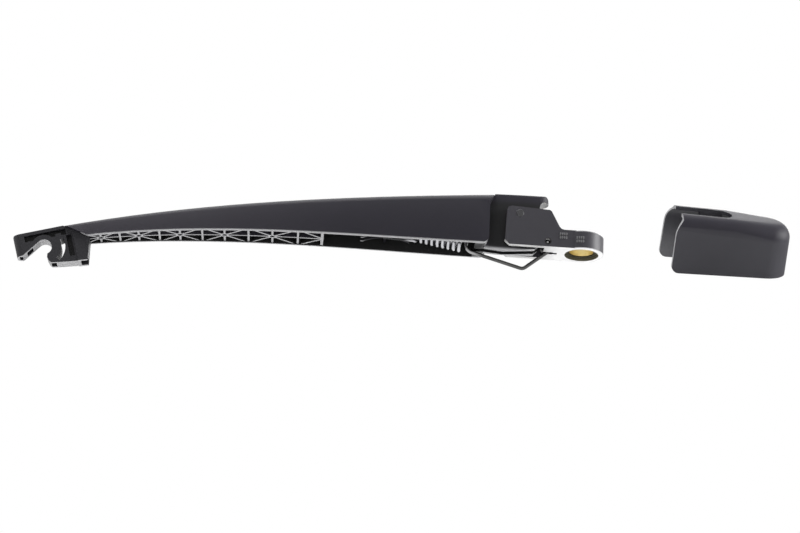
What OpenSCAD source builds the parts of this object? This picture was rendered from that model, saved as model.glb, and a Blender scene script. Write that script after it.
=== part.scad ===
// Rear wiper arm. A moulded arm is hinged on a die-cast head and pulled down by a tension spring
// and a bent-wire link. The head's cap is shown taken off, beside the head.
// Origin: on the spindle axis at the head's underside, Z up the spindle, the arm reaches along -X.

/* [Arm curve] */
// Distance from the spindle axis to the arm's tip
arm_reach = 262; // [255:0.5:280]
// Distance from the spindle axis to the end of the arm's curves
root_reach = 44; // [43:0.5:46]
// Heights of the shoulder line's four control points, tip to root
arm_top = [-4.6, 13.1, 21.1, 26.5]; // [-8:0.1:30]
// Heights of the skirt edge's four control points, tip to root
arm_bottom = [-11.6, 2.2, -1.8, -0.8]; // [-14:0.1:4]
// Widths over the skirts at the same four points, tip to root
arm_width = [13.2, 22.4, 22.0, 25.2]; // [8:0.1:28]

/* [Arm walls] */
// Thickness of the skirts
skirt_t = 1.8; // [1.4:0.1:2.2]
// Thickness of the roof
roof_t = 2.2; // [1.6:0.1:2.8]
// Radius of the shoulders at the root
shoulder_r = 3.4; // [2.4:0.1:4]
// Radius of the skirts' outer edges
rim_r = 0.9; // [0.4:0.1:1.2]
// Lean of the skirts, in degrees
draft = 1.4; // [0.5:0.1:2]
// How far the root end sits behind the end of the crown
root_set = 4.6; // [4:0.1:5.4]
// Radius of the root end's flare under the crown
root_flare_r = 10.4; // [8:0.1:13]
// Height of that flare
root_flare_h = 7.4; // [6:0.1:8]
// Radius of the root end's lower corners
root_corner_r = 3.6; // [2:0.1:4.5]
// Thickness of the end wall at the root
root_wall = 3.2; // [2.4:0.1:4]

/* [Ribs] */
// Thickness of the lattice ribs
rib_t = 1.0; // [0.8:0.1:1.4]
// Depth of the lattice below the skirt edge
rib_sink = 0.5; // [0.3:0.1:1]
// Distance from the spindle axis to the lattice's end wall
bay_reach = 131.9; // [128:0.1:136]
// Number of lattice cells
cells = 5; // [3:1:5]
// Length of the cell next to the end wall
cell_len = 25.9; // [22:0.1:27]
// How much shorter each next cell is
cell_step = 1.75; // [1:0.05:2]
// Length of the spring's cradle
cradle_len = 25; // [20:0.5:28]
// Thickness of the cradle's plates
cradle_t = 1.2; // [1:0.1:1.8]
// Rise of the arch in the cradle's plates
cradle_rise = 2.6; // [1.5:0.1:3]
// Height of the anchor pin over the plates' feet
cradle_foot = 3.9; // [3.4:0.1:4.4]
// Lean of the plates' lower edge, in degrees
cradle_lean = 2.5; // [0:0.5:5]
// Outer radius of the ring where the ribs cross
node_r = 2.2; // [1.8:0.1:2.6]

/* [Neck and tongue] */
// Width of the neck and tongue
neck_w = 10.6; // [9.6:0.1:11]
// Width of the slot that the link and spring pull through
neck_slot = 4.4; // [4:0.1:5]
// Thickness of the tongue
tongue_t = 3.1; // [2.6:0.1:3.6]
// Distance from the spindle axis to the tongue's end
tongue_reach = 17.6; // [17.4:0.1:19]
// Height of the tongue's end above the head's underside
tongue_z = 29.2; // [28.8:0.1:29.8]
// Height of the tongue where it leaves the shell
tongue_root_z = 28.3; // [27.8:0.1:28.6]
// Distance from the spindle axis to the neck's end
neck_reach = 22.6; // [22:0.1:24]
// Lowest point of the neck's underside
neck_drop = 1.6; // [1.2:0.1:2]
// Radius of the neck's lower edges
neck_edge = 2.6; // [1.5:0.1:2.8]
// Radius of the bosses round the hinge pin
hinge_boss_r = 5; // [4:0.1:6]

/* [Head] */
// Distance from the spindle axis to the hinge pin
hinge_back = 33; // [32.5:0.1:33.5]
// Height of the hinge pin
hinge_z = 17; // [16.5:0.1:17.2]
// Radius of the hinge pin
hinge_pin_r = 2.0; // [1.6:0.1:2.4]
// Distance from the spindle axis to the link pin
link_back = 18.4; // [18:0.1:18.8]
// Height of the link pin
link_z = 2.8; // [2.6:0.1:3.2]
// Radius of the link pin
link_pin_r = 1.35; // [1.2:0.05:1.5]
// Width over the cheeks
head_w = 20; // [19:0.1:21]
// Distance from the spindle axis to the pocket between the cheeks
pocket_reach = 19.8; // [19.4:0.1:21]
// Thickness of each cheek
cheek_t = 2.8; // [2.2:0.1:3]
// Distance from the spindle axis to the cheeks' front edge
cheek_reach = 40.4; // [39:0.1:41]
// Height of the cheeks at their front edge
cheek_h = 20.8; // [20.2:0.1:21.4]
// Drop of the cheeks' top edge towards the spindle
cheek_fall = 1.0; // [0.5:0.1:1.6]
// Radius of the spindle boss
boss_r = 11.2; // [10.6:0.1:12]
// Height of the spindle boss
boss_h = 9.6; // [9:0.1:10.5]
// Radius of the recess round the spindle
recess_r = 8.6; // [8.4:0.1:9]
// Depth of the recess round the spindle
recess_d = 1.9; // [1.4:0.1:2.2]

/* [Taper bush] */
// Radius of the bush where the spindle enters
spindle_r = 6.2; // [6:0.1:6.4]
// Length of the bush's straight land
spindle_land = 4.4; // [3.6:0.1:5]
// Radius of the hole at the nut seat
spindle_top_r = 4.3; // [4:0.1:4.8]
// Outer radius of the bush
bush_r = 7.4; // [7.2:0.1:7.8]

/* [Pull link] */
// Radius of the link's wire
link_wire_r = 0.95; // [0.8:0.05:1]
// Lowest bend of the link, back from the spindle axis
link_low_back = 29.8; // [29:0.1:31]
// Lowest bend of the link, below the head's underside
link_low_drop = 9.5; // [8.5:0.1:10.5]
// Slope of the link's long leg, in degrees
link_slope = 15.3; // [14:0.1:16]

/* [Spring] */
// Radius of the spring's wire
spring_wire_r = 0.8; // [0.7:0.05:0.9]
// Radius of the coil at the wire's centre
coil_r = 3.4; // [3.2:0.1:3.6]
// Pitch of the coil in the fitted spring
coil_pitch = 2.8; // [2.4:0.02:2.9]
// Turns of the coil
coil_turns = 8; // [6:1:9]
// Slope of the coil's axis, in degrees
coil_slope = 9.6; // [8:0.1:10.5]
// Distance from the arm's root to the link's upright
hook_room = 15.1; // [14.6:0.1:16.4]
// Height of the spring's loop on the upright
hook_z = 5.0; // [4.6:0.1:5.4]
// Distance between the loop and the coil
coil_gap = 0.6; // [0.3:0.1:1]
// Distance from the link's upright to the anchor pin
spring_reach = 41.5; // [38:0.1:44]
// Height of the anchor pin
anchor_z = 4.7; // [4.5:0.1:5.2]
// Radius of the anchor pin
anchor_r = 1.2; // [1:0.1:1.4]

/* [Blade clip] */
// Inner radius of the clip's hook
clip_r = 3.9; // [3.6:0.1:4.1]
// Outer radius of the hook's ring
ring_r = 6.2; // [5.9:0.1:6.4]
// Width of the clip
clip_w = 8; // [7:0.1:8.6]
// Width of the clip's block under the arm
block_w = 9.6; // [9:0.1:10]
// Distance from the hook's centre to the clip's front
clip_front = 14.3; // [13.4:0.1:15]
// Distance from the hook's centre to the arm's top edge
clip_seat = 12.4; // [12:0.1:12.8]
// Distance from the hook's centre to the clip's rear
clip_back = 23.2; // [22.8:0.1:23.8]
// Height of the clip's top over the hook's centre
clip_top = 9.2; // [9:0.1:9.6]
// Height of the clip's top over the arm's shoulders at the tip
clip_rise = 0.7; // [0:0.1:1]
// Depth of the clip's block under the hook's centre
clip_depth = 11.3; // [10.8:0.1:12]
// Distance from the hook's centre to the wide block
block_front = 15.2; // [14.8:0.1:16]
// How far behind the hook's centre its lip ends
lip_back = 1.0; // [0.6:0.1:1.4]
// Slope of the ramp into the hook, in degrees
flank_slope = 32; // [28:0.5:36]
// Length of that ramp
flank_len = 10.8; // [10:0.1:11.2]
// Radius of the curved slot behind the hook
flex_r = 9.6; // [9.4:0.1:9.8]
// Width of the curved slot behind the hook
flex_slot = 2.0; // [1.6:0.1:2.2]
// Distance from the hook's centre to the front of the side pockets
pocket_front = 8.8; // [8:0.1:9.4]
// Height of the side pockets
pocket_h = 3.2; // [2.6:0.1:3.6]
// Length of the tenon in the arm's tip
tenon_len = 9.6; // [8:0.1:10.5]
// Height of the tenon
tenon_h = 2.9; // [2:0.1:3.2]
// Depth of the tenon under the clip's top
tenon_drop = 3.2; // [2.8:0.1:3.6]
// Thickness of the clip's top wall
clip_top_t = 1.7; // [1.3:0.1:2]
// Thickness of the web between the side pockets
clip_web = 2.6; // [2:0.1:3.4]
// Slope of the clip's top, in degrees
clip_slope = 16.2; // [15:0.1:17]

/* [Cap] */
// Wall of the cap
cap_wall = 1.6; // [1.3:0.1:1.8]
// Half width of the cap at its open edge
cap_half_w = 13; // [12.8:0.1:13.6]
// Gap between the cap and the arm's root end
cap_gap = 1.8; // [1.2:0.1:2.4]
// Radius of the cap's top edges
cap_edge_r = 6; // [5:0.1:7]
// Radius of the cap's edge over the spindle
cap_rear_r = 7.5; // [5:0.1:9]
// Drop of the cap's top from its mouth to the tongue's end
cap_tilt = 1; // [0.4:0.1:1.6]
// Length of the cap's top from its mouth to the tongue's end
cap_front_len = 28; // [24:0.5:32]
// Drop of the cap's top over its rear end
cap_fall = 1.8; // [1:0.1:3]
// Where the cap lies: its spindle axis, from the head's
cap_place = [79.3, -52, -21]; // [-60:0.1:110]
// How the cap is turned: about X, Y and Z, in degrees
cap_turn = [38, -2.6, 6]; // [-60:0.1:60]

/* [Fits] */
// Radial clearance of a pin that turns
turn_fit = 0.05; // [0.03:0.01:0.08]
// Radial clearance of a pin that is pressed in
press_fit = 0.02; // [0.01:0.01:0.03]
// Gap between pieces that slide past each other
side_gap = 0.3; // [0.2:0.05:0.4]

/* [Hidden] */
$fn = 48;
eps = 0.01;
tall = 80;

hook_back = root_reach + hook_room;
anchor_back = hook_back + spring_reach;

// The arm's curves, by distance along X
function cubic(c, t) =
    c[0] * pow(1 - t, 3) + 3 * c[1] * t * pow(1 - t, 2) + 3 * c[2] * t * t * (1 - t) + c[3] * pow(t, 3);
function along(x) = (x + arm_reach) / (arm_reach - root_reach);
function shoulder_z(x) = cubic(arm_top, along(x));
function edge_z(x) = cubic(arm_bottom, along(x));
function half_width(x) = cubic(arm_width, along(x)) / 2;
function corner_r(x) = shoulder_r * half_width(x) / half_width(-root_reach);

// One section of the arm, set in from the skin by the skirt's and the roof's thickness
crown_angle = 70;
crown_rise = tan(90 - crown_angle) / 2;
function half_section(hw, hs, zs, zb, r, rim) =
    let (y1 = hs - r + r * cos(crown_angle), z1 = zs - r + r * sin(crown_angle))
    concat(rim > 0 ? [for (a = [-90:30:0]) [hw - rim + rim * cos(a), zb + rim + rim * sin(a)]] : [[hw, zb]],
           [[hs, zs - r]],
           [for (a = [25, 50, crown_angle]) [hs - r + r * cos(a), zs - r + r * sin(a)]],
           [for (s = [0.6, 0.25]) [s * y1, z1 + crown_rise * y1 * (1 - s * s)]]);
function section(x, skirt, roof, below) =
    let (hw = half_width(x) - skirt, zs = shoulder_z(x) - roof, zb = edge_z(x) - below,
         hs = hw - tan(draft) * (shoulder_z(x) - edge_z(x)), r = max(corner_r(x) - 0.7 * skirt, 0.6),
         side = half_section(hw, hs, zs, zb, r, skirt > 0 ? 0 : rim_r), n = len(side))
    concat([for (p = side) [x, p[0], p[1]]],
           [for (i = [n - 1:-1:0]) [x, -side[i][0], side[i][1]]]);

// A closed skin through a list of like sections
module loft(rings) {
    n = len(rings[0]);
    m = len(rings);
    polyhedron(
        points = [for (ring = rings) for (p = ring) p],
        faces = concat(
            [[for (j = [0:n - 1]) j]],
            [for (i = [0:m - 2]) for (j = [0:n - 1])
                [i * n + j, (i + 1) * n + j, (i + 1) * n + (j + 1) % n]],
            [for (i = [0:m - 2]) for (j = [0:n - 1])
                [i * n + j, (i + 1) * n + (j + 1) % n, i * n + (j + 1) % n]],
            [[for (j = [n - 1:-1:0]) (m - 1) * n + j]]),
        convexity = 6);
}

// Everything on the spindle side of the arm's root end, which flares out under the crown
root_face = root_reach + root_set;
root_corner_z = edge_z(-root_face) + root_corner_r;
root_flare_z = shoulder_z(-root_reach) - root_flare_h;
function flare_x(z) = root_flare_r - sqrt(pow(root_flare_r, 2) - pow(z - root_flare_z, 2));
module root_outline() {
    top = root_flare_z + root_flare_h;
    polygon(concat(
        [[-root_face - root_corner_r, -tall], [-root_face - root_corner_r, root_corner_z - root_corner_r]],
        [for (a = [-75:15:0])
            [-root_face - root_corner_r * (1 - cos(a)), root_corner_z + root_corner_r * sin(a)]],
        [for (i = [0:5]) let (z = root_flare_z + root_flare_h * i / 5) [-root_face + flare_x(z), z]],
        [[-root_face + flare_x(top), tall], [tall, tall], [tall, -tall]]));
}
module beyond_root(back) {
    translate([-back, tall / 2, 0]) rotate([90, 0, 0]) linear_extrude(tall) root_outline();
}

// The tip is cut on a slant that the clip's seat follows
tip_cut_low = 12;
tip_top = [-arm_reach, shoulder_z(-arm_reach)];
tip_low = [-arm_reach + tip_cut_low, edge_z(-arm_reach + tip_cut_low)];
tip_angle = atan2(tip_low[1] - tip_top[1], tip_low[0] - tip_top[0]);
module before_tip(gap) {
    translate([tip_top[0], 0, tip_top[1]]) rotate([0, -tip_angle, 0])
        translate([-tall, -tall / 2, -tall - gap]) cube([2 * tall, tall, tall]);
}

stations = 18;
function stops(a, b) = [for (i = [0:stations]) a + (b - a) * i / stations];
overrun = 3;
module arm_skin() {
    loft([for (x = stops(-arm_reach - overrun, -root_reach)) section(x, 0, 0, 0)]);
}
module arm_hollow(skirt, roof, below, from, to) {
    loft([for (x = stops(from, to)) section(x, skirt, roof, below)]);
}

// Lattice: crossing places, shorter towards the tip
function cell_x(k) = -bay_reach - (k * cell_len - cell_step * k * (k - 1) / 2);
function mid_x(k) = (cell_x(k) + cell_x(k + 1)) / 2;
module strip(a, b) {
    d = b - a;
    translate(a) rotate(atan2(d[1], d[0])) translate([0, -rib_t / 2]) square([norm(d), rib_t]);
}
lattice_end = cell_x(cells) - 6.4;
module lattice_plan() {
    reach = arm_width[3];
    difference() {
        union() {
            translate([lattice_end, -rib_t / 2]) square([-bay_reach - lattice_end, rib_t]);
            for (k = [0:cells - 1]) {
                translate([mid_x(k) - rib_t / 2, -reach / 2]) square([rib_t, reach]);
                translate([cell_x(k + 1) - rib_t / 2, -reach / 2]) square([rib_t, reach]);
                for (side = [-1, 1]) {
                    corner = [mid_x(k), side * half_width(mid_x(k))];
                    strip([cell_x(k), 0], corner);
                    strip([cell_x(k + 1), 0], corner);
                }
            }
            for (side = [-1, 1]) strip([cell_x(cells), 0], [mid_x(cells), side * half_width(mid_x(cells))]);
            for (k = [1:cells]) translate([cell_x(k), 0]) circle(node_r, $fn = 12);
        }
        for (k = [1:cells]) translate([cell_x(k), 0]) circle(node_r - rib_t, $fn = 12);
    }
    translate([-bay_reach - 1.4 * rib_t, -reach / 2]) square([1.4 * rib_t, reach]);
}
module lattice() {
    bite = 0.4;
    intersection() {
        translate([0, 0, -tall / 2]) linear_extrude(tall) lattice_plan();
        arm_hollow(skirt_t - bite, roof_t - bite, -rib_sink, lattice_end, -bay_reach + 1);
    }
}

// Cradle: two plates that carry the anchor pin, arched so that the spring's hook can be hung on,
// with a gusset from each plate to its skirt
cradle_gap = 2 * spring_wire_r + 2 * side_gap + 2;
module cradle() {
    arch_r = (pow(cradle_len / 2, 2) + pow(cradle_rise, 2)) / (2 * cradle_rise);
    roof_z = shoulder_z(-anchor_back) - roof_t + 0.5;
    foot_z = anchor_z - cradle_foot;
    for (side = [-1, 1]) {
        translate([-anchor_back, side * (cradle_gap + cradle_t) / 2 + cradle_t / 2, 0])
            rotate([90, 0, 0]) linear_extrude(cradle_t) difference() {
                translate([-cradle_len / 2, foot_z]) square([cradle_len, roof_z - foot_z]);
                translate([0, foot_z]) rotate(cradle_lean) translate([0, cradle_rise - arch_r])
                    circle(arch_r, $fn = 96);
                rotate(cradle_lean) translate([-cradle_len, foot_z - cradle_len])
                    square([2 * cradle_len, cradle_len]);
            }
        intersection() {
            translate([-anchor_back - rib_t / 2, side > 0 ? cradle_gap / 2 + 0.5 : -tall,
                       foot_z + cradle_rise])
                cube([rib_t, tall - cradle_gap / 2 - 0.5, tall]);
            arm_hollow(skirt_t - 0.4, roof_t - 0.4, 0, -anchor_back - 2, -anchor_back + 2);
        }
    }
}

// Neck and tongue
slot_top = tongue_root_z - tongue_t - 2;
neck_back = root_face + root_wall - 0.4;
tongue_round = 2.4;
module neck_side() {
    flank = 2;
    under_z = tongue_z - tongue_t - 0.4;
    polygon(concat(
        [[-neck_back, edge_z(-neck_back) + 0.2],
         [-hinge_back - 7.6, -neck_drop],
         [-neck_reach - flank, -0.2], [-neck_reach, flank - 0.2]],
        [for (a = [180:-30:90]) [-neck_reach + 3 + 3 * cos(a), under_z - 3 + 3 * sin(a)]],
        [[-tongue_reach, under_z]],
        [for (a = [0:30:90]) [-tongue_reach - tongue_round + tongue_round * cos(a),
                              tongue_z - tongue_round + tongue_round * sin(a)]],
        [[-root_reach - 1.6, tongue_root_z], [-root_reach - 1.6, tongue_root_z - roof_t],
         [-neck_back, tongue_root_z - roof_t]]));
}
module neck_end_view() {
    hull() {
        for (side = [-1, 1]) {
            translate([side * (neck_w / 2 - neck_edge), neck_edge - neck_drop]) circle(neck_edge, $fn = 32);
            translate([side * (neck_w / 2 - 1.6), tongue_z - 1.6]) circle(1.6, $fn = 32);
        }
    }
}
module neck_plan() {
    translate([-neck_back - 1, -neck_w / 2]) square([neck_back + 1 - tongue_reach - neck_w / 2, neck_w]);
    translate([-tongue_reach - neck_w / 2, 0]) circle(neck_w / 2);
}
module neck() {
    difference() {
        union() {
            intersection() {
                translate([0, neck_w, 0]) rotate([90, 0, 0]) linear_extrude(2 * neck_w) neck_side();
                translate([-neck_back - 1, 0, 0]) rotate([90, 0, 90])
                    linear_extrude(neck_back) neck_end_view();
                translate([0, 0, -tall / 2]) linear_extrude(tall) neck_plan();
            }
            translate([-hinge_back, 0, hinge_z]) rotate([90, 0, 0])
                cylinder(r = hinge_boss_r, h = head_w - 2 * cheek_t - 2 * side_gap, center = true);
        }
        translate([-hinge_back, 0, hinge_z]) rotate([90, 0, 0])
            cylinder(r = hinge_pin_r + turn_fit, h = 2 * head_w, center = true);
    }
}
module pull_slot() {
    behind = root_face + root_wall + root_corner_r + 1;
    translate([-behind, -neck_slot / 2, -tall / 2])
        cube([behind - tongue_reach + 5, neck_slot, tall / 2 + slot_top]);
}

module arm() {
    color([0.13, 0.13, 0.14]) difference() {
        union() {
            difference() {
                arm_skin();
                difference() {
                    arm_hollow(skirt_t, roof_t, 1, -arm_reach - 2 * overrun, -root_reach);
                    beyond_root(root_wall);
                }
                beyond_root(0);
            }
            lattice();
            cradle();
            neck();
        }
        before_tip(0);
        pull_slot();
        translate([-anchor_back, 0, anchor_z]) rotate([90, 0, 0])
            cylinder(r = anchor_r + press_fit, h = cradle_gap + 4 * cradle_t, center = true);
    }
}

// Blade clip, drawn about the hook's centre with its top level, then tilted with the arm's tip
clip_centre = tip_top - [clip_seat * cos(clip_slope) - clip_top * sin(clip_slope),
                         clip_seat * sin(clip_slope) + clip_top * cos(clip_slope) - clip_rise];
flank_start = clip_r * [-sin(flank_slope), cos(flank_slope)];
flank_end = flank_start - flank_len * [cos(flank_slope), sin(flank_slope)];
function ring_pts(r, a0, a1, n) = [for (i = [0:n]) let (a = a0 + (a1 - a0) * i / n) r * [cos(a), sin(a)]];
module clip_side() {
    difference() {
        polygon(concat(
            [[-clip_front, clip_top - 0.5], [-clip_front + 0.5, clip_top], [clip_back, clip_top],
             [clip_back, clip_top - clip_seat + 3.6], [clip_back - 3.2, -clip_depth],
             [block_front, -clip_depth + 0.5], [ring_r + 0.8, -clip_depth + 1.6],
             [lip_back + 1.1, -clip_depth + 2.4], [lip_back + 0.2, -clip_depth + 3.4],
             [lip_back - 0.5, -ring_r + 0.6], lip_back * [1, 0] - [0, clip_r - 0.1]],
            [[0, 0], flank_start, flank_end, [-clip_front + 0.2, flank_end[1] + 0.2]]));
        circle(clip_r);
        polygon(concat(ring_pts(flex_r - flex_slot / 2, -54, 14, 12),
                       ring_pts(flex_r + flex_slot / 2, 14, -54, 12)));
    }
}
// Pockets in both sides that leave the ring, the top wall and a middle web
module clip_pockets_side() {
    top = clip_top - clip_top_t;
    low = top - pocket_h;
    difference() {
        translate([-pocket_front, low]) square([pocket_front + clip_seat - 0.4, pocket_h]);
        circle(ring_r + 0.2);
        translate([ring_r + 0.4, low]) square([flex_slot + 1, 1.2]);
    }
    translate([clip_seat - 0.6, -clip_depth + 3.8]) square([block_front - clip_seat - 0.2, clip_depth]);
}
module clip_plan() {
    nose = clip_w / 2 - 0.5;
    intersection() {
        translate([-clip_front, -clip_w / 2]) square([clip_front + clip_back, clip_w]);
        union() {
            hull() for (side = [-1, 1])
                translate([-clip_front + nose, side * (clip_w / 2 - nose)]) circle(nose);
            translate([-clip_front + nose, -clip_w]) square([2 * clip_back + nose, 2 * clip_w]);
        }
    }
}
// Cores that lighten the clip from below, each with a wall all round
module clip_cores() {
    wall = 1.4;
    translate([block_front + wall, -block_w / 2 + wall + 0.2, -2 * clip_depth])
        cube([3.8, block_w - 2 * wall - 0.4, 1.5 * clip_depth]);
    translate([lip_back + 1, -clip_w / 2 + wall, -2 * clip_depth])
        cube([2.6, clip_w - 2 * wall, 1.4 * clip_depth]);
    translate([-clip_front + wall, -clip_w / 2 + wall + 0.4, -clip_depth])
        cube([1.7, clip_w - 2 * wall - 0.8, clip_depth + 1.5]);
    translate([-pocket_front, -clip_w / 2 + wall, -clip_depth])
        cube([3.2, clip_w - 2 * wall, clip_depth + 2.8]);
}
tenon_w = 2 * (half_width(-arm_reach + 4) - skirt_t - side_gap) - 0.6;
module blade_clip() {
    color([0.12, 0.12, 0.13]) translate([clip_centre[0], 0, clip_centre[1]]) rotate([0, -clip_slope, 0])
        union() {
            difference() {
                intersection() {
                    translate([0, block_w, 0]) rotate([90, 0, 0]) linear_extrude(2 * block_w) clip_side();
                    translate([0, 0, -tall / 2]) linear_extrude(tall) union() {
                        clip_plan();
                        translate([block_front, -block_w / 2]) square([clip_back - block_front, block_w]);
                    }
                }
                for (side = [-1, 1]) translate([0, side * (clip_web / 2 + clip_w / 2), 0])
                    rotate([90, 0, 0]) linear_extrude(clip_w, center = true) clip_pockets_side();
                clip_cores();
                above_seat(-eps);
            }
            intersection() {
                translate([clip_seat - 2, -tenon_w / 2, clip_top - tenon_drop - tenon_h])
                    cube([tenon_len, tenon_w, tenon_h]);
                above_seat(-1);
            }
        }
}
// Everything above the clip's slanted seat, in the clip's own frame
module above_seat(gap) {
    rotate([0, clip_slope, 0]) translate([-clip_centre[0], 0, -clip_centre[1]])
        translate([tip_top[0], 0, tip_top[1]]) rotate([0, -tip_angle, 0])
            translate([-tall, -tall / 2, gap]) cube([2 * tall, tall, tall]);
}

// Mounting head
pocket_w = head_w - 2 * cheek_t;
sweep_r = norm([hinge_back - tongue_reach, tongue_z - hinge_z]) + side_gap + 0.2;
module cheek_side() {
    foot = 2.2;
    slant_x = -12.6;
    polygon([
        [-cheek_reach + 0.1, foot], [-cheek_reach + foot + 0.2, 0], [-4, 0], [-4, boss_h],
        [slant_x + 2.4, boss_h], [slant_x + 1, boss_h + 0.4], [slant_x, boss_h + 1.4],
        [-16.9, cheek_h - cheek_fall - 0.6], [-17.9, cheek_h - cheek_fall],
        [-cheek_reach + 3.2, cheek_h], [-cheek_reach + 1.4, cheek_h - 0.6],
        [-cheek_reach + 0.8, cheek_h - 2.2]]);
}
module mounting_head() {
    color([0.2, 0.2, 0.21]) difference() {
        union() {
            translate([0, head_w / 2, 0]) rotate([90, 0, 0]) linear_extrude(head_w) cheek_side();
            rotate_extrude() polygon([[0, 0], [boss_r - 0.3, 0], [boss_r, 0.3], [boss_r, boss_h - 0.8],
                                      [boss_r - 0.8, boss_h], [0, boss_h]]);
        }
        // room for the neck and for the tongue as it swings down
        translate([-cheek_reach - 1, -pocket_w / 2, -1])
            cube([cheek_reach + 1 - pocket_reach, pocket_w, tall]);
        translate([-hinge_back, 0, hinge_z]) rotate([90, 0, 0])
            cylinder(r = sweep_r, h = pocket_w, center = true);
        translate([-cheek_reach - 1, -pocket_w / 2, hinge_z]) cube([cheek_reach, pocket_w, tall]);
        // room for the link's eye
        translate([-25, -link_wire_r - side_gap - 0.3, -1])
            cube([25 - link_back + 2 * link_wire_r + link_pin_r + side_gap,
                  2 * (link_wire_r + side_gap + 0.3),
                  link_z + 1 + 2 * link_wire_r + link_pin_r + side_gap]);
        translate([-hinge_back, 0, hinge_z]) rotate([90, 0, 0])
            cylinder(r = hinge_pin_r + press_fit, h = 2 * head_w, center = true);
        translate([-link_back, 0, link_z]) rotate([90, 0, 0])
            cylinder(r = link_pin_r + press_fit, h = 2 * head_w, center = true);
        translate([0, 0, -1]) cylinder(r = recess_r, h = recess_d + 1);
        cylinder(r = bush_r + press_fit, h = tall);
        translate([-16, -1, -1]) cube([3.4, 2, 2.2]);
    }
}

module taper_bush() {
    color([0.85, 0.72, 0.25]) rotate_extrude() polygon([
        [spindle_r, recess_d], [bush_r, recess_d], [bush_r, boss_h], [spindle_top_r, boss_h],
        [spindle_r, recess_d + spindle_land]]);
}

// A turned pin across the head with chamfered ends
module cross_pin(r, length) {
    rotate([90, 0, 0]) rotate_extrude() polygon([
        [0, -length / 2], [r - 0.3, -length / 2], [r, -length / 2 + 0.3],
        [r, length / 2 - 0.3], [r - 0.3, length / 2], [0, length / 2]]);
}
module hinge_pin() {
    color([0.25, 0.25, 0.26]) translate([-hinge_back, 0, hinge_z]) cross_pin(hinge_pin_r, head_w + 0.4);
}
module link_pin() {
    color([0.8, 0.8, 0.82]) translate([-link_back, 0, link_z]) cross_pin(link_pin_r, head_w - cheek_t);
}
module anchor_pin() {
    color([0.7, 0.7, 0.72]) translate([-anchor_back, 0, anchor_z])
        cross_pin(anchor_r, cradle_gap + 2 * cradle_t + 1);
}

// A round tube along a path, turned as little as possible from one ring to the next
function unit(v) = v / norm(v);
function side_of(v, t) = unit(v - (v * t) * t);
module tube(path, r, sides) {
    n = len(path);
    tangents = [for (i = [0:n - 1]) unit(path[min(i + 1, n - 1)] - path[max(i - 1, 0)])];
    normals = [for (i = 0, v = side_of([0, 1, 0.2], tangents[0]); i < n;
                    i = i + 1, v = side_of(v, tangents[min(i, n - 1)])) v];
    rings = [for (i = [0:n - 1]) [for (k = [0:sides - 1]) let (a = 360 * k / sides)
        path[i] + r * (cos(a) * normals[i] + sin(a) * cross(tangents[i], normals[i]))]];
    polyhedron(
        points = [for (ring = rings) for (p = ring) p],
        faces = concat(
            [[for (j = [0:sides - 1]) j]],
            [for (i = [0:n - 2]) for (j = [0:sides - 1])
                [i * sides + j, (i + 1) * sides + j, (i + 1) * sides + (j + 1) % sides]],
            [for (i = [0:n - 2]) for (j = [0:sides - 1])
                [i * sides + j, (i + 1) * sides + (j + 1) % sides, i * sides + (j + 1) % sides]],
            [[for (j = [sides - 1:-1:0]) (n - 1) * sides + j]]),
        convexity = 10);
}
// Pull link: an eye on the link pin, a low bend, a long leg, and an upright that holds the spring
link_pin_at = [-link_back, link_z];
link_low = [-link_low_back, -link_low_drop];
eye_r = link_pin_r + turn_fit + link_wire_r;
low_bend_r = 3;
up_bend_r = 4;
top_bend_r = 1.8;
leg_dir = [-cos(link_slope), sin(link_slope)];
upright_top = [-hook_back, hook_z + 4.4];
knee = link_low + leg_dir * ((hook_back - link_low_back) / cos(link_slope));
knee_trim = up_bend_r / tan((90 + link_slope) / 2);
eye_dir = atan2(link_pin_at[1] - link_low[1], link_pin_at[0] - link_low[0])
        - asin(eye_r / norm(link_pin_at - link_low));
low_half = (180 - link_slope - eye_dir) / 2;
low_mid = (180 - link_slope + eye_dir) / 2;
function bend(c, r, from, to, n) =
    [for (i = [0:n]) let (a = from + (to - from) * i / n) [c[0] + r * cos(a), 0, c[1] + r * sin(a)]];
link_path = concat(
    bend(link_pin_at, eye_r, eye_dir + 200, eye_dir - 90, 20),
    bend(link_low + low_bend_r / sin(low_half) * [cos(low_mid), sin(low_mid)], low_bend_r,
         270 + eye_dir, 270 - link_slope, 8),
    bend([-hook_back + up_bend_r, knee[1] + knee_trim], up_bend_r, 270 - link_slope, 180, 9),
    bend(upright_top + [-top_bend_r, 0], top_bend_r, 0, 120, 8));
module pull_link() {
    color([0.42, 0.42, 0.41]) tube(link_path, link_wire_r, 12);
}

// Tension spring: a hook on the anchor pin, a straight shank, the coil, and a flat loop on the link
hook_r = anchor_r + spring_wire_r + 0.15;
loop_r = link_wire_r + spring_wire_r + 0.2;
coil_end = [-hook_back - loop_r - coil_gap, 0, hook_z];
coil_len = coil_pitch * coil_turns;
shank_bend = 1.5;
function coil_point(s, a) =
    let (x = -s * coil_len, z = coil_r * sin(a) - coil_r)
    coil_end + [x * cos(coil_slope) + z * sin(coil_slope), coil_r * cos(a),
                -x * sin(coil_slope) + z * cos(coil_slope)];
coil_steps = 16;
coil_lead = asin(shank_bend / coil_r);
coil_foot = coil_point(1, 270);
spring_path = concat(
    [for (a = [40:20:270]) [-anchor_back + hook_r * cos(a), 0, anchor_z + hook_r * sin(a)]],
    [for (b = [0:30:60]) coil_foot + [shank_bend * (sin(b) - 1.4), shank_bend * (1 - cos(b)), 0]],
    [for (i = [0:coil_steps * coil_turns]) let (s = i / (coil_steps * coil_turns))
        coil_point(1 - s, 270 + coil_lead + (360 * coil_turns - coil_lead) * s)],
    [for (a = [22.5:22.5:157.5]) coil_point(0, 270 + a)],
    [for (a = [180:20:480]) [-hook_back + loop_r * cos(a), loop_r * sin(a), hook_z]]);
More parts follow.
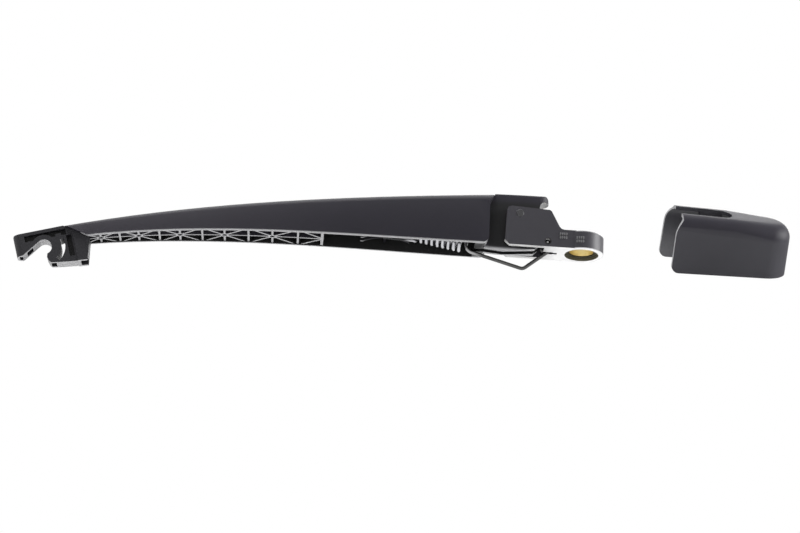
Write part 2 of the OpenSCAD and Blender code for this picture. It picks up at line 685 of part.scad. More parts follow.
module tension_spring() {
    color([0.78, 0.78, 0.8]) tube(spring_path, spring_wire_r, 8);
}

// Head cap, drawn as it fits over the head and then laid beside it
cap_slot_w = neck_w + 2 * side_gap;
cap_top_z = tongue_z - 0.6;
cap_rear_z = cap_top_z - cap_tilt - cap_fall;
cap_bend_x = -tongue_reach - 1;
cap_skirt_z = 0.7;
module cap_form(wall) {
    half = cap_half_w - wall;
    r = cap_edge_r - wall;
    rear_r = cap_rear_r - wall;
    lean = 0.6;
    front = cap_bend_x - tall / 2;
    hull() {
        translate([0, 0, cap_skirt_z - (wall > 0 ? 1 : 0)]) linear_extrude(1) {
            circle(half);
            translate([front, -half]) square([-front, 2 * half]);
        }
        translate([0, 0, cap_rear_z - wall - rear_r]) rotate_extrude($fn = 48) intersection() {
            translate([half - lean / 2 - rear_r, 0]) circle(rear_r, $fn = 40);
            translate([0, -rear_r]) square([half, 2 * rear_r]);
        }
        for (side = [-1, 1])
            translate([cap_bend_x, side * (half - lean - r), cap_top_z - cap_tilt - wall - r])
                rotate([0, -90 + atan2(cap_tilt, cap_front_len), 0]) cylinder(r = r, h = tall / 2, $fn = 32);
    }
}
module cap_fitted() {
    difference() {
        union() {
            difference() {
                cap_form(0);
                cap_form(cap_wall);
            }
            // lugs beside the slot that bear on the cheeks
            intersection() {
                cap_form(0.5);
                for (side = [-1, 1])
                    translate([-cheek_reach + 9, side * (cap_slot_w / 2 + 1.2) - 1.2, cheek_h + side_gap])
                        cube([11, 2.4, tall]);
            }
        }
        translate([-tall, -cap_slot_w / 2, cap_top_z / 2])
            cube([tall - tongue_reach - neck_w / 2 - side_gap, cap_slot_w, tall]);
        translate([-tongue_reach - neck_w / 2, 0, cap_top_z / 2]) cylinder(r = cap_slot_w / 2, h = tall);
        difference() {
            translate([-2 * tall, -tall / 2, -tall]) cube([2 * tall, tall, 2 * tall]);
            translate([cap_gap, tall / 2, 0]) rotate([90, 0, 0]) linear_extrude(tall) cap_mouth();
        }
    }
}
// What is left of the cap beside the arm's root end, with its lower corner rounded
module cap_mouth() {
    r = root_corner_r;
    edge = -root_face;
    polygon(concat(
        [[tall, cap_skirt_z - 1], [edge + r, cap_skirt_z - 1], [edge + r, cap_skirt_z]],
        [for (a = [255:-15:180]) [edge + r + r * cos(a), cap_skirt_z + r + r * sin(a)]],
        [for (i = [0:6]) let (z = root_flare_z + root_flare_h * i / 6) [edge + flare_x(z), z]],
        [[edge + flare_x(root_flare_z + root_flare_h), tall], [tall, tall]]));
}
module head_cap() {
    color([0.11, 0.11, 0.12]) translate(cap_place) rotate(cap_turn) cap_fitted();
}

arm();
blade_clip();
mounting_head();
taper_bush();
hinge_pin();
link_pin();
pull_link();
anchor_pin();
tension_spring();
head_cap();
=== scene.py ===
import math

import bpy
from mathutils import Matrix, Vector


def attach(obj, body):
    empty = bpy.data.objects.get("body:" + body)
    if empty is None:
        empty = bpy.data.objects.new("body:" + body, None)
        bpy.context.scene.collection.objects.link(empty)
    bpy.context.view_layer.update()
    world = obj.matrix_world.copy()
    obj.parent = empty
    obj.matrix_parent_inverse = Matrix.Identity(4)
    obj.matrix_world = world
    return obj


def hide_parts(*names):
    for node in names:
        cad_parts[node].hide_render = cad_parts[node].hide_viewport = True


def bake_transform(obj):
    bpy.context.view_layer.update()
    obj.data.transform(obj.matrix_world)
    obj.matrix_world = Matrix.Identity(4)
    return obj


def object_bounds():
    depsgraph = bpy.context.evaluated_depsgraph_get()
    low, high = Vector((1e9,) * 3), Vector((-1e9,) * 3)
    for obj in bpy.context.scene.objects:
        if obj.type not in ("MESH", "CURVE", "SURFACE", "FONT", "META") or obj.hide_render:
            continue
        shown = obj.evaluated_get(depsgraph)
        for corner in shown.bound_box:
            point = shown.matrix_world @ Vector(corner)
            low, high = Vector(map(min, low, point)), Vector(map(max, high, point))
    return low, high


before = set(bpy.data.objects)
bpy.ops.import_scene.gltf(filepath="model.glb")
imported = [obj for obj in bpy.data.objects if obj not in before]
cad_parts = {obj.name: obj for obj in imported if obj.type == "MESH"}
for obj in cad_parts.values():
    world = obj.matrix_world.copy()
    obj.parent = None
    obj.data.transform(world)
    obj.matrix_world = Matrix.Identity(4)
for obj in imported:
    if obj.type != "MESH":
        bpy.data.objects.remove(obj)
cad_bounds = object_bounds()
scene = bpy.context.scene

# Mounting head. A small die-cast block with two cheeks for the arm and a round boss for the spindle.
# It is cast in one piece with its marks, then sprayed a thin dark grey, so its edges stay soft.
# The faces that look down are painted light grey as a painted reflection of the white table.
paint_side, head_painted_reflection = (0.03, 0.0285, 0.036), (0.8, 0.8, 0.8)
paint_grain, paint_relief = 2600.0, 0.00004
recess_wall, recess_roof, recess_painted_shade = (0.00875, 0.0086), (0.003, 0.0022), (0.075, 0.07, 0.045)
link_pin_at, pin_hole_wall, pin_hole_shade_tone = (-0.0184, 0.0028), (0.0019, 0.0017), (0.006, 0.006, 0.006)
rims_along, rims_painted_reflection = (-0.0115, -0.0215), (0.46, 0.46, 0.46)
casting_edge, smooth_angle = 0.00045, math.radians(38)


def fine_surface():
    """Grain and a slow drift of tone, which every finish of the part shares."""
    group = bpy.data.node_groups.new("fine_surface", "ShaderNodeTree")
    group.interface.new_socket("Vector", in_out="INPUT", socket_type="NodeSocketVector")
    group.interface.new_socket("Grain Size", in_out="INPUT", socket_type="NodeSocketFloat")
    group.interface.new_socket("Drift Size", in_out="INPUT", socket_type="NodeSocketFloat")
    group.interface.new_socket("Grain", in_out="OUTPUT", socket_type="NodeSocketFloat")
    group.interface.new_socket("Drift", in_out="OUTPUT", socket_type="NodeSocketFloat")
    nodes, links = group.nodes, group.links
    given, out = nodes.new("NodeGroupInput"), nodes.new("NodeGroupOutput")
    grain, drift = nodes.new("ShaderNodeTexNoise"), nodes.new("ShaderNodeTexNoise")
    grain.inputs["Detail"].default_value = 3.0
    grain.inputs["Roughness"].default_value = 0.6
    drift.inputs["Detail"].default_value = 2.0
    links.new(given.outputs["Vector"], grain.inputs["Vector"])
    links.new(given.outputs["Vector"], drift.inputs["Vector"])
    links.new(given.outputs["Grain Size"], grain.inputs["Scale"])
    links.new(given.outputs["Drift Size"], drift.inputs["Scale"])
    links.new(grain.outputs["Fac"], out.inputs["Grain"])
    links.new(drift.outputs["Fac"], out.inputs["Drift"])
    return group


def underside():
    """A mask of the faces that look down, the faces on which the finishes paint a reflection of the bare
    white table.
    """
    group = bpy.data.node_groups.new("underside", "ShaderNodeTree")
    group.interface.new_socket("From", in_out="INPUT", socket_type="NodeSocketFloat")
    group.interface.new_socket("To", in_out="INPUT", socket_type="NodeSocketFloat")
    group.interface.new_socket("Down", in_out="OUTPUT", socket_type="NodeSocketFloat")
    nodes, links = group.nodes, group.links
    given, out = nodes.new("NodeGroupInput"), nodes.new("NodeGroupOutput")
    place, split = nodes.new("ShaderNodeTexCoord"), nodes.new("ShaderNodeSeparateXYZ")
    flip, ramp = nodes.new("ShaderNodeMath"), nodes.new("ShaderNodeMapRange")
    flip.operation = "MULTIPLY"
    flip.inputs[1].default_value = -1.0
    ramp.clamp = True
    links.new(place.outputs["Normal"], split.inputs[0])
    links.new(split.outputs["Z"], flip.inputs[0])
    links.new(flip.outputs[0], ramp.inputs["Value"])
    links.new(given.outputs["From"], ramp.inputs["From Min"])
    links.new(given.outputs["To"], ramp.inputs["From Max"])
    links.new(ramp.outputs["Result"], out.inputs["Down"])
    return group


surface_group = fine_surface()
underside_group = underside()


def new_finish(name):
    made = bpy.data.materials.new(name)
    made.use_nodes = True
    return made, made.node_tree, made.node_tree.nodes["Principled BSDF"]


def add_surface(tree, grain_size, drift_size):
    """The shared grain and drift, on the piece's own coordinates."""
    place, skin = tree.nodes.new("ShaderNodeTexCoord"), tree.nodes.new("ShaderNodeGroup")
    skin.node_tree = surface_group
    skin.inputs["Grain Size"].default_value = grain_size
    skin.inputs["Drift Size"].default_value = drift_size
    tree.links.new(place.outputs["Object"], skin.inputs["Vector"])
    return skin


def add_relief(tree, skin, strength, depth):
    """Raises the grain a little above the surface."""
    bump = tree.nodes.new("ShaderNodeBump")
    bump.inputs["Strength"].default_value = strength
    bump.inputs["Distance"].default_value = depth
    tree.links.new(skin.outputs["Grain"], bump.inputs["Height"])
    tree.links.new(bump.outputs["Normal"], tree.nodes["Principled BSDF"].inputs["Normal"])


def between(tree, value, none, full):
    """A soft step from 0 at none to 1 at full. Pairs of limits are written in that order."""
    step = tree.nodes.new("ShaderNodeMapRange")
    step.interpolation_type = "SMOOTHSTEP"
    step.inputs["From Min"].default_value = none
    step.inputs["From Max"].default_value = full
    tree.links.new(value, step.inputs["Value"])
    return step.outputs["Result"]


def both(tree, first, second):
    """The region where two masks overlap."""
    product = tree.nodes.new("ShaderNodeMath")
    product.operation = "MULTIPLY"
    tree.links.new(first, product.inputs[0])
    tree.links.new(second, product.inputs[1])
    return product.outputs[0]


def facing_down(tree, none=0.35, full=0.85):
    """How far a face looks down, from 0 at none to 1 at full, where 1 is straight down."""
    down = tree.nodes.new("ShaderNodeGroup")
    down.node_tree = underside_group
    down.inputs["From"].default_value = none
    down.inputs["To"].default_value = full
    return down.outputs["Down"]


def split_axes(tree, source):
    """X, Y and Z of the place on the piece, in metres, or of the way that its surface faces."""
    place, split = tree.nodes.new("ShaderNodeTexCoord"), tree.nodes.new("ShaderNodeSeparateXYZ")
    tree.links.new(place.outputs[source], split.inputs[0])
    return split.outputs


def reach(tree, axes, other, centre=(0.0, 0.0)):
    """Distance from the spindle's axis where other is Y, or from one across the part where it is Z."""
    flat, span = tree.nodes.new("ShaderNodeCombineXYZ"), tree.nodes.new("ShaderNodeVectorMath")
    tree.links.new(axes["X"], flat.inputs["X"])
    tree.links.new(axes[other], flat.inputs["Y"])
    span.operation = "DISTANCE"
    span.inputs[1].default_value = (*centre, 0.0)
    tree.links.new(flat.outputs[0], span.inputs[0])
    return span.outputs["Value"]


def recolour(tree, mask, colour):
    """Gives one region of a finish another colour."""
    shader, mix = tree.nodes["Principled BSDF"], tree.nodes.new("ShaderNodeMix")
    before = shader.inputs["Base Color"].links[0].from_socket
    mix.data_type = "RGBA"
    mix.inputs["B"].default_value = (*colour, 1.0)
    tree.links.new(mask, mix.inputs["Factor"])
    tree.links.new(before, mix.inputs["A"])
    tree.links.new(mix.outputs["Result"], shader.inputs["Base Color"])


def dark_finish(name, side, below, rough, rough_below, grain_size, grain_depth, region=None):
    """A dark moulded or painted surface: one tone on its sides, and on the faces that look down a
    lighter tone that is a painted reflection of the table.
    """
    drift_size, drift_share, rough_by_grain, relief_strength = 45.0, 0.25, 0.12, 0.5
    made, tree, shader = new_finish(name)
    nodes, links = tree.nodes, tree.links
    skin = add_surface(tree, grain_size, drift_size)
    tone, drift = nodes.new("ShaderNodeMix"), nodes.new("ShaderNodeMix")
    tone.data_type = drift.data_type = "RGBA"
    tone.inputs["A"].default_value = (*side, 1.0)
    tone.inputs["B"].default_value = (*below, 1.0)
    # Faces that look down get a lighter tone, a painted reflection of the white table below.
    lighter = facing_down(tree)
    if region:
        lighter = both(tree, lighter, region(tree))
    links.new(lighter, tone.inputs["Factor"])
    drift.blend_type = "MULTIPLY"
    drift.inputs["Factor"].default_value = drift_share
    links.new(tone.outputs["Result"], drift.inputs["A"])
    links.new(skin.outputs["Drift"], drift.inputs["B"])
    links.new(drift.outputs["Result"], shader.inputs["Base Color"])
    gloss, jitter = nodes.new("ShaderNodeMapRange"), nodes.new("ShaderNodeMath")
    gloss.inputs["To Min"].default_value = rough
    gloss.inputs["To Max"].default_value = rough_below
    links.new(lighter, gloss.inputs["Value"])
    jitter.operation = "MULTIPLY_ADD"
    jitter.inputs[1].default_value = rough_by_grain
    links.new(skin.outputs["Grain"], jitter.inputs[0])
    links.new(gloss.outputs["Result"], jitter.inputs[2])
    links.new(jitter.outputs[0], shader.inputs["Roughness"])
    add_relief(tree, skin, relief_strength, grain_depth)
    return made


def softened_copy(node, name, body, width=0.0, angle=30.0):
    """A copy of a CAD solid, with its sharp edges broken to the width that its mould or paint leaves."""
    merge_within, flat_within = 2e-6, math.radians(0.6)
    bpy.ops.object.select_all(action="DESELECT")
    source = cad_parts[node]
    source.select_set(True)
    bpy.context.view_layer.objects.active = source
    bpy.ops.object.duplicate()
    piece = bpy.context.active_object
    piece.name = name
    bpy.ops.object.mode_set(mode="EDIT")
    bpy.ops.mesh.select_all(action="SELECT")
    bpy.ops.mesh.customdata_custom_splitnormals_clear()
    bpy.ops.mesh.remove_doubles(threshold=merge_within)
    if width:
        bpy.ops.mesh.dissolve_limited(angle_limit=flat_within)
    bpy.ops.object.mode_set(mode="OBJECT")
    if width:
        edge = piece.modifiers.new("edge", "BEVEL")
        edge.width = width
        edge.segments = 2
        edge.limit_method = "ANGLE"
        edge.angle_limit = math.radians(angle)
        edge.use_clamp_overlap = True
        bpy.ops.object.modifier_apply(modifier=edge.name)
    bpy.ops.object.shade_smooth_by_angle(angle=smooth_angle)
    if width:
        level = piece.modifiers.new("level", "WEIGHTED_NORMAL")
        level.keep_sharp = True
        bpy.ops.object.modifier_apply(modifier=level.name)
    if body:
        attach(piece, body)
    else:
        piece.parent = None
    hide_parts(node)
    return piece


def finish_with(piece, made):
    piece.data.materials.clear()
    piece.data.materials.append(made)


casting_paint = dark_finish("casting_paint", paint_side, head_painted_reflection, rough=0.42, rough_below=0.3,
                            grain_size=paint_grain, grain_depth=paint_relief)
tree = casting_paint.node_tree
axes = split_axes(tree, "Object")
# The recess round the bush is painted dark olive as shade.
recess_shaded = both(tree, between(tree, reach(tree, axes, "Y"), *recess_wall),
               between(tree, axes["Z"], *recess_roof))
recolour(tree, recess_shaded, recess_painted_shade)
# The link pin's hole in the cheeks is painted dark as shade.
pin_hole = between(tree, reach(tree, axes, "Z", link_pin_at), *pin_hole_wall)
recolour(tree, pin_hole, pin_hole_shade_tone)
# The cheeks' lower rims carry a dimmer painted reflection of the table.
cheek_rims = both(tree, facing_down(tree), between(tree, axes["X"], *rims_along))
recolour(tree, cheek_rims, rims_painted_reflection)
casting = softened_copy("mounting_head", "head_casting", "head", casting_edge)
finish_with(casting, casting_paint)

# Cast marks. Two small blocks of raised bars stand on the head's side, as a foundry's plain tally does.
# They are part of the casting, and the paint is rubbed thin on them.
boss_radius, wall_side = 0.0112, -0.010
bar_size, bar_edge = (0.0007, 0.0007, 0.0012), 0.0001
bar_rows = [(0, 4, 0.00105), (2, 2, 0.0019)]
mark_blocks = [("wall", -0.01215, 0.0054), ("boss", -0.0037, 0.0037)]

# The marks' tone where they face down is a painted reflection of the white table.
worn_paint = dark_finish("worn_paint", (0.13, 0.13, 0.135), (0.34, 0.34, 0.34),
                         rough=0.38, rough_below=0.3, grain_size=paint_grain, grain_depth=paint_relief)
for surface, left, low in mark_blocks:
    bpy.ops.object.select_all(action="DESELECT")
    bpy.ops.mesh.primitive_cube_add(size=1.0, location=(0.0, 0.0, 0.0))
    marks = bpy.context.active_object
    marks.name = "cast_marks_" + surface
    bpy.ops.object.mode_set(mode="EDIT")
    bpy.ops.mesh.select_all(action="SELECT")
    bpy.ops.transform.resize(value=bar_size)
    bpy.ops.mesh.bevel(offset=bar_edge, segments=2)
    bpy.ops.object.mode_set(mode="OBJECT")
    for axis, count, step in bar_rows:
        row = marks.modifiers.new("row", "ARRAY")
        row.count = count
        row.use_relative_offset = False
        row.use_constant_offset = True
        row.constant_offset_displace = [step if i == axis else 0.0 for i in range(3)]
        bpy.ops.object.modifier_apply(modifier=row.name)
    for corner in marks.data.vertices:
        corner.co.x += left
        corner.co.z += low
        if surface == "boss":
            corner.co.y -= math.sqrt(boss_radius ** 2 - corner.co.x ** 2)
        else:
            corner.co.y += wall_side
    bpy.ops.object.shade_smooth_by_angle(angle=smooth_angle)
    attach(marks, "head")
    finish_with(marks, worn_paint)

# Taper bush. A turned steel ring pressed into the boss, whose inside takes the spindle's cone.
# It is zinc plated and yellow passivated, which leaves a brassy colour that drifts a little in tone,
# and its rim that faces down is painted dark olive as shade.
brass_pale, brass_deep = (0.96, 0.87, 0.6), (0.9, 0.79, 0.47)
shade_facing, brass_painted_shade = (0.6, 0.9), (0.1, 0.09, 0.055)


def turned_metal(name, base, other, rough, lay_size):
    """Bare or plated steel with the faint lay of its turning or drawing."""
    drift_size, rough_by_grain, relief_strength, relief_depth = 220.0, 0.18, 0.25, 0.00002
    made, tree, shader = new_finish(name)
    shader.inputs["Metallic"].default_value = 1.0
    skin = add_surface(tree, lay_size, drift_size)
    tone, gloss = tree.nodes.new("ShaderNodeMix"), tree.nodes.new("ShaderNodeMapRange")
    tone.data_type = "RGBA"
    tone.inputs["A"].default_value = (*base, 1.0)
    tone.inputs["B"].default_value = (*other, 1.0)
    tree.links.new(skin.outputs["Drift"], tone.inputs["Factor"])
    tree.links.new(tone.outputs["Result"], shader.inputs["Base Color"])
    gloss.inputs["To Min"].default_value = rough
    gloss.inputs["To Max"].default_value = rough + rough_by_grain
    tree.links.new(skin.outputs["Grain"], gloss.inputs["Value"])
    tree.links.new(gloss.outputs["Result"], shader.inputs["Roughness"])
    add_relief(tree, skin, relief_strength, relief_depth)
    return made


def finish_node(node, made):
    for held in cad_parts[node].material_slots:
        held.material = made


yellow_passivate = turned_metal("yellow_passivate", brass_pale, brass_deep, rough=0.26, lay_size=3000.0)
tree = yellow_passivate.node_tree
# The bush's rim that faces down is painted dark olive as shade.
recolour(tree, facing_down(tree, *shade_facing), brass_painted_shade)
finish_node("taper_bush", yellow_passivate)

# Arm. One long moulding in black plastic: a hollow shell stiffened by crossing ribs, with the spring's
# cradle and the neck that hinges on the head. Its skirt and rib edges are flat where the mould closes,
# and there and under the tongue's tip a painted reflection of the white table makes them light grey.
# Its neck, the bay at its root and the far skirt's inner face are painted dark as shade,
# and its sides are coloured a little lighter towards the tip.
skirt_curve = (0.0228, -0.0534, 0.0414, -0.0116)
arm_from, arm_length = -0.262, 0.218
rim_height, tongue_tip = (0.0026, 0.0012), (-0.0235, -0.0225)
arm_side, arm_rim_painted_reflection, arm_specular = (0.0118, 0.0103, 0.0178), (0.38, 0.38, 0.39), 0.36
upright_facing, lighter_along, tip_side_tone = (0.6, 0.3), (-0.10, -0.25), (0.031, 0.0285, 0.0365)
neck_along, neck_height, neck_painted_shade = (-0.0484, -0.0476), (0.0265, 0.0225), (0.004, 0.004, 0.005)
bay_front, bay_back, bay_across = (-0.05, -0.0504), (-0.06, -0.059), (0.0103, 0.0099)
bay_painted_shade = (0.008, 0.008, 0.01)
far_facing, far_across, far_skirt_painted_shade = (-0.3, -0.7), (0.001, 0.003), (0.0065, 0.0065, 0.0068)


def either(tree, first, second):
    """The region that one mask or the other covers."""
    most = tree.nodes.new("ShaderNodeMath")
    most.operation = "MAXIMUM"
    tree.links.new(first, most.inputs[0])
    tree.links.new(second, most.inputs[1])
    return most.outputs[0]


def size_of(tree, value):
    positive = tree.nodes.new("ShaderNodeMath")
    positive.operation = "ABSOLUTE"
    tree.links.new(value, positive.inputs[0])
    return positive.outputs[0]


def near_skirt(tree):
    """The skirts' rims and the ribs' edges, which end along one shallow curve, and the tongue's tip,
    which carry a painted reflection of the white table.
    """
    axes, run = split_axes(tree, "Object"), tree.nodes.new("ShaderNodeMapRange")
    run.clamp = False
    run.inputs["From Min"].default_value = arm_from
    run.inputs["From Max"].default_value = arm_from + arm_length
    tree.links.new(axes["X"], run.inputs["Value"])
    height = None
    for power in skirt_curve[1:]:
        step = tree.nodes.new("ShaderNodeMath")
        step.operation = "MULTIPLY_ADD"
        if height is None:
            step.inputs[0].default_value = skirt_curve[0]
        else:
            tree.links.new(height, step.inputs[0])
        tree.links.new(run.outputs["Result"], step.inputs[1])
        step.inputs[2].default_value = power
        height = step.outputs[0]
    above = tree.nodes.new("ShaderNodeMath")
    above.operation = "SUBTRACT"
    tree.links.new(axes["Z"], above.inputs[0])
    tree.links.new(height, above.inputs[1])
    return either(tree, between(tree, above.outputs[0], *rim_height),
                  between(tree, axes["X"], *tongue_tip))


arm_plastic = dark_finish("arm_plastic", arm_side, arm_rim_painted_reflection, rough=0.5, rough_below=0.3,
                          grain_size=3200.0, grain_depth=0.00003, region=near_skirt)
tree = arm_plastic.node_tree
tree.nodes["Principled BSDF"].inputs["Specular IOR Level"].default_value = arm_specular
axes, facing = split_axes(tree, "Object"), split_axes(tree, "Normal")
upright = facing_down(tree, *upright_facing)
# The sides are coloured lighter towards the tip.
tip_lighter = both(tree, upright, between(tree, axes["X"], *lighter_along))
recolour(tree, tip_lighter, tip_side_tone)
# The neck between the cheeks is painted dark as shade.
shaded_neck = both(tree, between(tree, axes["X"], *neck_along), between(tree, axes["Z"], *neck_height))
recolour(tree, both(tree, shaded_neck, upright), neck_painted_shade)
# The bay at the arm's root, inside the skirts, is painted dark as shade.
root_bay = both(tree, between(tree, axes["X"], *bay_front), between(tree, axes["X"], *bay_back))
inside_skirts = between(tree, size_of(tree, axes["Y"]), *bay_across)
recolour(tree, both(tree, root_bay, inside_skirts), bay_painted_shade)
# The far skirt's inner face is painted dark as shade.
far_skirt = both(tree, between(tree, facing["Y"], *far_facing), between(tree, axes["Y"], *far_across))
recolour(tree, far_skirt, far_skirt_painted_shade)
arm_shell = softened_copy("arm", "arm_shell", "arm")
finish_with(arm_shell, arm_plastic)

# Hinge pin. A steel pin driven through the cheeks and peened at both ends before painting,
# so only its ring shows in the cheek.
# The pin's lighter tone where it faces down is a painted reflection of the table.
pin_paint = dark_finish("pin_paint", (0.036, 0.036, 0.039), (0.05, 0.05, 0.053),
                        rough=0.42, rough_below=0.35, grain_size=paint_grain, grain_depth=paint_relief)
finish_node("hinge_pin", pin_paint)

# Link pin. A smaller pin across the cheeks that carries the wire link's eye. It sits back in its hole,
# where it is painted dark as shade, and a painted highlight is put on the middle of its end.
pin_end_painted_highlight, pin_end_highlight_drift = (0.95, 0.95, 0.96), (0.85, 0.85, 0.86)
pin_shade_from_middle, pin_painted_shade = (0.00035, 0.0006), (0.01, 0.01, 0.01)
pin_painted_light = turned_metal("pin_painted_light", pin_end_painted_highlight, pin_end_highlight_drift, rough=0.3, lay_size=4000.0)
tree = pin_painted_light.node_tree
# All but the middle of the pin's end is painted dark as shade.
pin_shaded = between(tree, reach(tree, split_axes(tree, "Object"), "Z", link_pin_at), *pin_shade_from_middle)
recolour(tree, pin_shaded, pin_painted_shade)
finish_node("link_pin", pin_painted_light)

# Pull link. One piece of round wire, bent to an eye at the head and to an upright for the spring.
# The drawn wire is oiled and dull, and the upright is painted bright as a painted highlight.
wire_dark, wire_light = (0.07, 0.07, 0.07), (0.17, 0.168, 0.165)
highlight_along, upright_painted_highlight = (-0.0505, -0.0565), (0.45, 0.45, 0.455)
drawn_wire = turned_metal("drawn_wire", wire_dark, wire_light, rough=0.34, lay_size=5000.0)
tree = drawn_wire.node_tree
# The upright is painted bright as a painted highlight.
upright_highlight = between(tree, split_axes(tree, "Object")["X"], *highlight_along)
recolour(tree, upright_highlight, upright_painted_highlight)
link_wire = softened_copy("pull_link", "link_wire", "link")
finish_with(link_wire, drawn_wire)

# Anchor pin. A short bright pin of turned steel, which holds the spring's far loop.
# It is pressed across the cradle inside the arm.
steel_light, steel_dark = (0.72, 0.72, 0.74), (0.55, 0.55, 0.58)
pin_steel = turned_metal("pin_steel", steel_light, steel_dark, rough=0.2, lay_size=4000.0)
finish_node("anchor_pin", pin_steel)

# Tension spring. Close coils of zinc-plated wire, hooked on the link and looped round the anchor pin.
# On the real arm it stretches between the two as the arm lifts, but here it is one fixed piece; its far
# loop is painted dark as shade inside the arm.
zinc_light, zinc_dark = (0.72, 0.72, 0.74), (0.54, 0.54, 0.57)
loop_shade_along, loop_painted_shade = (-0.0868, -0.0915), (0.06, 0.06, 0.062)
spring_wire = turned_metal("spring_wire", zinc_light, zinc_dark, rough=0.22, lay_size=5000.0)
tree = spring_wire.node_tree
# The far loop is painted dark as shade inside the arm.
loop_shaded = between(tree, split_axes(tree, "Object")["X"], *loop_shade_along)
recolour(tree, loop_shaded, loop_painted_shade)
coil = softened_copy("tension_spring", "coil_spring", None)
finish_with(coil, spring_wire)
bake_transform(coil)

# Blade clip. A separate black moulding pushed into the arm's tip, with an open hook that snaps round
# the blade's cross pin and a curved slot behind it that lets the hook give.
hook_centre, clip_tilt = (-0.27134, -0.01619), math.radians(16.2)
pocket_height, foot_height, hook_along = (0.0056, 0.0052), (-0.0078, -0.0086), (0.0085, 0.0075)
web_across, web_facing, pocket_painted_shade = (0.0021, 0.0018), (0.6, 0.9), (0.003, 0.003, 0.0035)
clip_side, clip_painted_reflection = (0.014, 0.0135, 0.0175), (0.4, 0.4, 0.41)
clip_edge = 0.00025


def below_pockets(tree):
    """The hook, the ramp and the foot of the clip, but not the ceilings of its side pockets, which carry
    a painted reflection of the white table where they face down.
    """
    axes = split_axes(tree, "Object")
    up, height = tree.nodes.new("ShaderNodeCombineXYZ"), tree.nodes.new("ShaderNodeVectorMath")
    tree.links.new(axes["X"], up.inputs["X"])
    tree.links.new(axes["Z"], up.inputs["Z"])
    height.operation = "DOT_PRODUCT"
    height.inputs[1].default_value = (-math.sin(clip_tilt), 0.0, math.cos(clip_tilt))
    tree.links.new(up.outputs[0], height.inputs[0])
    centre = -math.sin(clip_tilt) * hook_centre[0] + math.cos(clip_tilt) * hook_centre[1]
    low = between(tree, height.outputs["Value"], *(centre + limit for limit in pocket_height))
    near = between(tree, axes["X"], *(hook_centre[0] + limit for limit in hook_along))
    foot = between(tree, height.outputs["Value"], *(centre + limit for limit in foot_height))
    return both(tree, low, either(tree, near, foot))


# Faces that look down below the pockets carry a painted reflection of the table.
clip_plastic = dark_finish("clip_plastic", clip_side, clip_painted_reflection, rough=0.45, rough_below=0.3,
                           grain_size=3600.0, grain_depth=0.00002, region=below_pockets)
tree = clip_plastic.node_tree
axes, facing = split_axes(tree, "Object"), split_axes(tree, "Normal")
# The floors of the clip's side pockets are painted dark as shade.
pocket_floor = both(tree, between(tree, size_of(tree, axes["Y"]), *web_across),
                    between(tree, size_of(tree, facing["Y"]), *web_facing))
recolour(tree, pocket_floor, pocket_painted_shade)
clip = softened_copy("blade_clip", "clip_body", "arm", clip_edge)
finish_with(clip, clip_plastic)

# Head cap. A thin black moulding that snaps over the head and the arm's root once the nut is on.
# It is off here and lies beside the head; its inner wall is painted lighter as painted light and its
# mouth's edge carries a painted highlight.
cap_side_tone, cap_painted_reflection, cap_specular = (0.0125, 0.0108, 0.0185), (0.06, 0.06, 0.066), 0.28
cap_front, cap_side = (-0.994, -0.104, -0.045), (-0.110, 0.781, 0.615)
cap_up = (0.029, -0.616, 0.787)
wall_across, wall_facing, wall_height = (-0.0572, -0.0552), (-0.5, -0.8), (0.042, 0.022)
mouth_along, mouth_facing = (-0.0315, -0.0295), (0.5, 0.85)
cap_wall_painted_light, mouth_painted_highlight = (0.12, 0.12, 0.128), (0.3, 0.3, 0.31)
cap_edge, cap_edge_angle = 0.0003, 42.0


def along(tree, source, direction):
    """How far the place lies, or the surface faces, along one direction of the cap."""
    place, product = tree.nodes.new("ShaderNodeTexCoord"), tree.nodes.new("ShaderNodeVectorMath")
    product.operation = "DOT_PRODUCT"
    product.inputs[1].default_value = direction
    tree.links.new(place.outputs[source], product.inputs[0])
    return product.outputs["Value"]


# The cap's faces that look down carry a painted reflection of the table.
cap_plastic = dark_finish("cap_plastic", cap_side_tone, cap_painted_reflection, rough=0.5, rough_below=0.4,
                          grain_size=3000.0, grain_depth=0.00003)
tree = cap_plastic.node_tree
tree.nodes["Principled BSDF"].inputs["Specular IOR Level"].default_value = cap_specular
# The upper part of the cap's inner wall is painted lighter as painted light.
inner_wall = both(tree, between(tree, along(tree, "Object", cap_side), *wall_across),
                  between(tree, along(tree, "Normal", cap_side), *wall_facing))
lit_wall = both(tree, inner_wall, between(tree, along(tree, "Object", cap_up), *wall_height))
recolour(tree, lit_wall, cap_wall_painted_light)
# The mouth's edge carries a painted highlight.
mouth_edge = both(tree, between(tree, along(tree, "Object", cap_front), *mouth_along),
                  between(tree, along(tree, "Normal", cap_front), *mouth_facing))
recolour(tree, mouth_edge, mouth_painted_highlight)
cap = softened_copy("head_cap", "cap_shell", "head", cap_edge, cap_edge_angle)
finish_with(cap, cap_plastic)

# Floor and light. A pale table that is open from below, since the photograph looks up at the part,
# a white room behind it and three plain soft lamps.
part_middle, floor_drop, table_size, table_tone = (-0.1, 0.0, 0.0), 0.004, 4.0, (0.82, 0.82, 0.82, 1.0)
room_lit, room_shown = 0.45, 1.0
mirror_front, mirror_behind, front_at, behind_at = 0.3, 1.0, -0.9, 0.3
lamps = [("lamp_above", (-0.3, -0.2, 1.2), 1.0, 16.0), ("lamp_right", (1.0, -0.25, 0.3), 0.5, 14.0),
         ("lamp_behind", (0.2, 0.9, 0.8), 0.8, 9.0)]


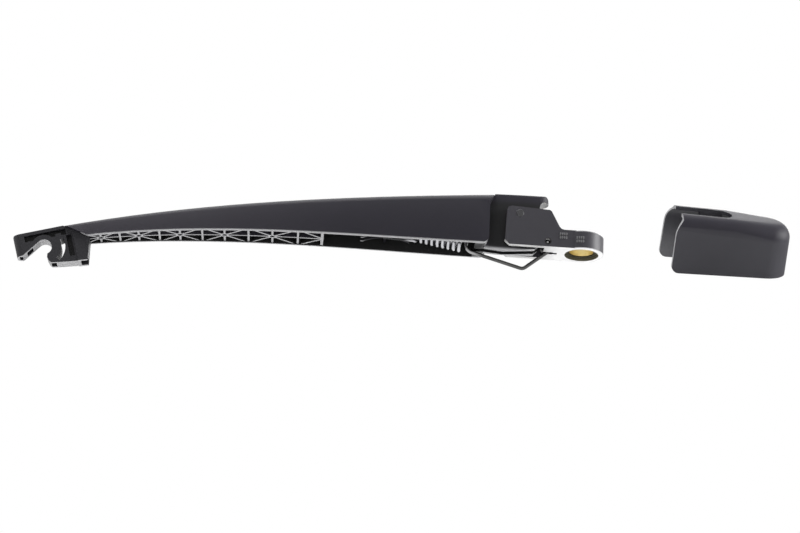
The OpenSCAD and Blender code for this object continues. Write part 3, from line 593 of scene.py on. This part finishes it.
def table_top():
    """Matt and pale from above, clear from below, and plain white in a reflection."""
    made, tree, shader = new_finish("table_top")
    nodes, links = tree.nodes, tree.links
    shader.inputs["Base Color"].default_value = table_tone
    shader.inputs["Roughness"].default_value = 0.9
    side, path = nodes.new("ShaderNodeNewGeometry"), nodes.new("ShaderNodeLightPath")
    clear, glow = nodes.new("ShaderNodeBsdfTransparent"), nodes.new("ShaderNodeEmission")
    shine, face = nodes.new("ShaderNodeMixShader"), nodes.new("ShaderNodeMixShader")
    mirrored = either(tree, path.outputs["Is Glossy Ray"], path.outputs["Is Transmission Ray"])
    links.new(mirrored, shine.inputs["Fac"])
    links.new(shader.outputs[0], shine.inputs[1])
    links.new(glow.outputs[0], shine.inputs[2])
    links.new(side.outputs["Backfacing"], face.inputs["Fac"])
    links.new(shine.outputs[0], face.inputs[1])
    links.new(clear.outputs[0], face.inputs[2])
    links.new(face.outputs[0], nodes["Material Output"].inputs["Surface"])
    return made


bpy.ops.object.select_all(action="DESELECT")
table_at = (part_middle[0], part_middle[1], cad_bounds[0][2] - floor_drop)
bpy.ops.mesh.primitive_plane_add(size=table_size, location=table_at)
floor = bpy.context.active_object
floor.name = "table"
floor.data.materials.append(table_top())

room = bpy.data.worlds.new("white_room")
scene.world = room
room.use_nodes = True
tree = room.node_tree
sky, path = tree.nodes["Background"], tree.nodes.new("ShaderNodeLightPath")
sky.inputs["Color"].default_value = (1.0, 1.0, 1.0, 1.0)
room_side, mirrored = tree.nodes.new("ShaderNodeMapRange"), tree.nodes.new("ShaderNodeMath")
tree.links.new(split_axes(tree, "Generated")["Y"], room_side.inputs["Value"])
room_side.inputs["From Min"].default_value = front_at
room_side.inputs["From Max"].default_value = behind_at
room_side.inputs["To Min"].default_value = mirror_front - room_lit
room_side.inputs["To Max"].default_value = mirror_behind - room_lit
mirrored.operation = "MULTIPLY_ADD"
mirrored.inputs[2].default_value = room_lit
tree.links.new(path.outputs["Is Glossy Ray"], mirrored.inputs[0])
tree.links.new(room_side.outputs["Result"], mirrored.inputs[1])
shown = either(tree, path.outputs["Is Camera Ray"], path.outputs["Is Transmission Ray"])
level = tree.nodes.new("ShaderNodeMath")
level.operation = "MULTIPLY_ADD"
level.inputs[1].default_value = room_shown - room_lit
tree.links.new(shown, level.inputs[0])
tree.links.new(mirrored.outputs[0], level.inputs[2])
tree.links.new(level.outputs[0], sky.inputs["Strength"])

for name, stand, size, power in lamps:
    bpy.ops.object.select_all(action="DESELECT")
    bpy.ops.object.light_add(type="AREA", location=stand)
    lamp = bpy.context.active_object
    lamp.name = name
    lamp.data.size = size
    lamp.data.energy = power
    aim = Vector(part_middle) - Vector(stand)
    lamp.rotation_euler = aim.to_track_quat("-Z", "Y").to_euler()

# Camera. Below the part and in front of it, looking up along the hinge axis, with a little roll.
# Its place and its three directions are those at which the part's outline fits the photograph.
eye_place = (-0.13748, -1.03592, -0.37976)
eye_right = (0.996917, -0.061013, 0.049334)
eye_up = (-0.066827, -0.330749, 0.94135)
eye_ahead = (0.041117, 0.941744, 0.333807)
bpy.ops.object.camera_add()
eye = bpy.context.active_object
eye.name = "photo_view"
eye.data.sensor_width = 36.0
eye.data.lens = 97.633
eye.data.clip_start = 0.05
eye.matrix_world = Matrix([[eye_right[i], eye_up[i], -eye_ahead[i], eye_place[i]] for i in range(3)]
                          + [[0.0, 0.0, 0.0, 1.0]])
scene.camera = eye
scene.view_settings.view_transform = "Standard"
